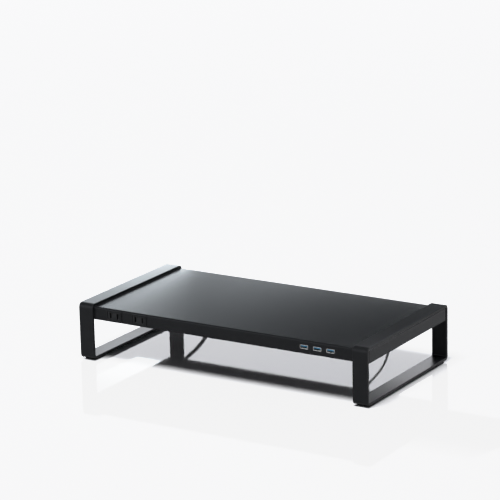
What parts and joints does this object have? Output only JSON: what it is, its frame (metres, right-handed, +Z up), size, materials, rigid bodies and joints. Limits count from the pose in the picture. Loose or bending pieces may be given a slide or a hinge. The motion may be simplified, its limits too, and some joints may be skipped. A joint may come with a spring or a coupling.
{
  "type": "monitor riser stand",
  "caption": "Low black steel desk riser for a monitor, a flat deck between two closed bar leg frames, with front mains outlets and a front USB hub.",
  "frame": {"origin": "on the desk plane, under the centre of the two leg frames", "axes": "+X to the right as seen from the front, along the deck; -Y towards the user; +Z up"},
  "size_m": [0.5, 0.3695, 0.09],
  "materials": {
    "frame_coat": "satin black powder coat on steel bar",
    "deck_coat": "satin black powder coat on steel sheet",
    "zinc_steel": "bright zinc plated steel",
    "shell_steel": "nickel plated steel, polished",
    "brass": "plain brass strip",
    "module_plastic": "fine textured black plastic",
    "blue_plastic": "blue moulded plastic",
    "board": "green solder mask on glass laminate",
    "chip": "black moulded epoxy",
    "pad_rubber": "black rubber",
    "cord_pvc": "satin black flexible PVC",
    "core_white": "white wire insulation",
    "tie_strap": "black woven hook strap"
  },
  "bodies": {
    "root": {"deck_pan": "deck_coat", "deck_rim_front": "deck_coat", "deck_rim_rear": "deck_coat", "deck_rim_left": "deck_coat", "deck_rim_right": "deck_coat", "deck_stiffener_front": "deck_coat", "deck_stiffener_rear": "deck_coat", "leg_frame_left": "frame_coat", "leg_frame_right": "frame_coat", "foot_pad_front_left": "pad_rubber", "foot_pad_front_right": "pad_rubber", "foot_pad_rear_left": "pad_rubber", "foot_pad_rear_right": "pad_rubber", "frame_screws": "zinc_steel", "module_studs": "zinc_steel", "module_nuts": "zinc_steel", "outlet_case": "module_plastic", "outlet_back_cover": "module_plastic", "outlet_insert_left": "module_plastic", "outlet_insert_right": "module_plastic", "contact_bar_neutral": "brass", "contact_bar_live": "brass", "outlet_leads": "core_white", "mains_gland": "cord_pvc", "hub_case": "module_plastic", "hub_back_cover": "module_plastic", "hub_board": "board", "hub_chip": "chip", "hub_leads": "core_white", "usb_shell_1": "shell_steel", "usb_shell_2": "shell_steel", "usb_shell_3": "shell_steel", "usb_tongue_1": "blue_plastic", "usb_tongue_2": "blue_plastic", "usb_tongue_3": "blue_plastic", "usb_pins": "brass", "usb_relief": "cord_pvc", "mains_cord": "cord_pvc", "mains_cord_clip": "module_plastic", "mains_coil": "cord_pvc", "mains_tie": "tie_strap", "mains_plug_body": "cord_pvc", "mains_plug_blades": "shell_steel", "usb_cable": "cord_pvc", "usb_cable_clip": "module_plastic", "usb_coil": "cord_pvc", "usb_tie": "tie_strap", "usb_plug_hood": "cord_pvc", "usb_plug_nose": "shell_steel", "usb_plug_tongue": "core_white"}
  },
  "joints": []
}
